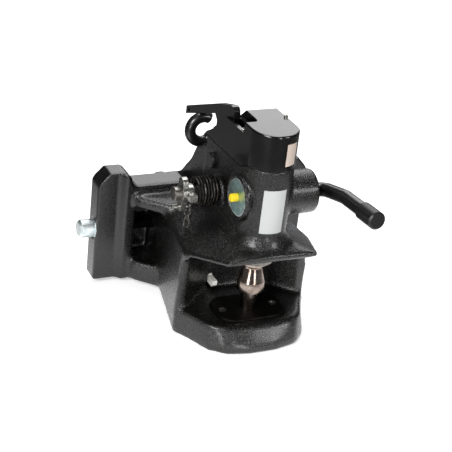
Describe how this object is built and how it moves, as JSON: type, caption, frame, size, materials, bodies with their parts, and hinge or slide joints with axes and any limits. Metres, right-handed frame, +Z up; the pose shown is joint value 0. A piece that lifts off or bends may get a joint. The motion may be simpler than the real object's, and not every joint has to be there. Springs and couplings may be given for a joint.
{
  "type": "automatic trailer coupling",
  "caption": "Slide-in automatic trailer coupling with a flared jaw, a vertical coupling pin, a hand lever, a remote lever and side locking pins",
  "frame": {"origin": "on the axis of the coupling pin, at the height of its belt and of the two locking pins", "axes": "+Z up along the coupling pin, -Y out of the jaw towards the trailer, +X to the side of the hand lever"},
  "size_m": [0.351, 0.3328, 0.2966],
  "materials": {
    "casting": "glossy black paint over rough cast iron",
    "cover": "glossy black paint, smooth",
    "wear": "glossy black",
    "pin_steel": "ground steel with a warm tint",
    "zinc": "bright zinc plate",
    "zinc_blue": "blue-green passivated zinc",
    "steel": "oiled steel",
    "spring_steel": "dark oil-tempered wire",
    "bronze": "sintered bronze",
    "black_bar": "satin black paint",
    "grip": "black moulded sleeve",
    "yellow": "bright yellow",
    "seal": "matte black"
  },
  "bodies": {
    "coupler": {"body_casting": "casting", "tower_cover": "cover", "cover_screws": "zinc", "upper_bush": "steel", "lower_bush": "steel", "wear_plate": "wear", "wear_screws": "steel", "lifting_bush": "bronze", "hand_bush": "bronze", "hand_seal": "seal", "indicator_disc": "zinc_blue", "cross_pin": "black_bar", "cross_ring": "spring_steel", "cross_spacer": "steel", "lock_spring": "spring_steel", "slider_lid": "casting", "lid_screws": "zinc", "trigger_pin": "steel", "trigger_spring": "spring_steel"},
    "pin": {"coupling_pin": "pin_steel"},
    "lifting": {"lifting_finger": "steel", "finger_pins": "steel", "lifting_shaft": "steel", "closing_spring": "spring_steel", "shaft_clamp": "zinc", "clamp_screw": "zinc", "stop_pin": "zinc"},
    "link": {"drag_link": "steel"},
    "hand": {"hand_lever": "black_bar", "lever_grip": "grip", "drive_crank": "steel", "crank_pin": "steel"},
    "control": {"control_pin": "yellow"},
    "remote": {"remote_lever": "black_bar", "rope_hook": "black_bar"},
    "chain": {"safety_chain": "zinc"},
    "lock_left": {"locking_pin_left": "zinc", "lock_stud_left": "steel"},
    "lock_right": {"locking_pin_right": "zinc", "lock_stud_right": "steel"},
    "slider": {"lock_slider": "steel", "lock_rod": "steel", "lock_knob": "grip"},
    "trigger_body": {"trigger": "zinc"}
  },
  "joints": [
    {"name": "lift_turn", "type": "hinge", "parent": "coupler", "child": "lifting", "pos_m": [0, 0.06, 0.1], "axis": [-1, 0, 0], "range_deg": [0, 75.9], "stiffness_Nm_per_rad": 1.5, "springref_deg": -114.59},
    {"name": "pin_lift", "type": "slide", "parent": "coupler", "child": "pin", "axis": [0, 0, 1], "range_m": [0, 0.0842]},
    {"name": "link_turn", "type": "hinge", "parent": "lifting", "child": "link", "pos_m": [0.0225, 0.06635, 0.08316], "axis": [-1, 0, 0], "range_deg": [-76, 0]},
    {"name": "hand_turn", "type": "hinge", "parent": "coupler", "child": "hand", "pos_m": [0, 0, 0.1187], "axis": [-1, 0, 0], "range_deg": [0, 76]},
    {"name": "control_slide", "type": "slide", "parent": "coupler", "child": "control", "axis": [1, 0, 0], "range_m": [0, 0.0081]},
    {"name": "remote_turn", "type": "hinge", "parent": "coupler", "child": "remote", "pos_m": [0, 0.085, 0.13], "axis": [1, 0, 0], "range_deg": [0, 38]},
    {"name": "chain_hang", "type": "hinge", "parent": "lifting", "child": "chain", "pos_m": [-0.071, 0.06, 0.081], "axis": [-1, 0, 0], "range_deg": [-76, 0]},
    {"name": "slider_lift", "type": "slide", "parent": "coupler", "child": "slider", "axis": [0, 0, 1], "range_m": [0, 0.02], "stiffness_N_per_m": 600, "springref_m": -0.02, "deforming": ["lock_spring"]},
    {"name": "lock_left_slide", "type": "slide", "parent": "coupler", "child": "lock_left", "axis": [1, 0, 0], "range_m": [0, 0.0202]},
    {"name": "lock_right_slide", "type": "slide", "parent": "coupler", "child": "lock_right", "axis": [-1, 0, 0], "range_m": [0, 0.0202]},
    {"name": "trigger_turn", "type": "hinge", "parent": "coupler", "child": "trigger_body", "pos_m": [0, 0.07, -0.008], "axis": [1, 0, 0], "range_deg": [0, 12], "stiffness_Nm_per_rad": 0.05, "springref_deg": -17.19}
  ],
  "couplings": [
    {"joint": "pin_lift", "follows": "lift_turn", "m_per_rad": 0.0634},
    {"joint": "link_turn", "follows": "lift_turn", "ratio": -1},
    {"joint": "hand_turn", "follows": "lift_turn", "ratio": 1},
    {"joint": "control_slide", "follows": "lift_turn", "m_per_rad": 0.00603},
    {"joint": "remote_turn", "follows": "lift_turn", "ratio": 0.5},
    {"joint": "chain_hang", "follows": "lift_turn", "ratio": -1},
    {"joint": "lock_left_slide", "follows": "slider_lift", "ratio": 1},
    {"joint": "lock_right_slide", "follows": "slider_lift", "ratio": 1}
  ]
}
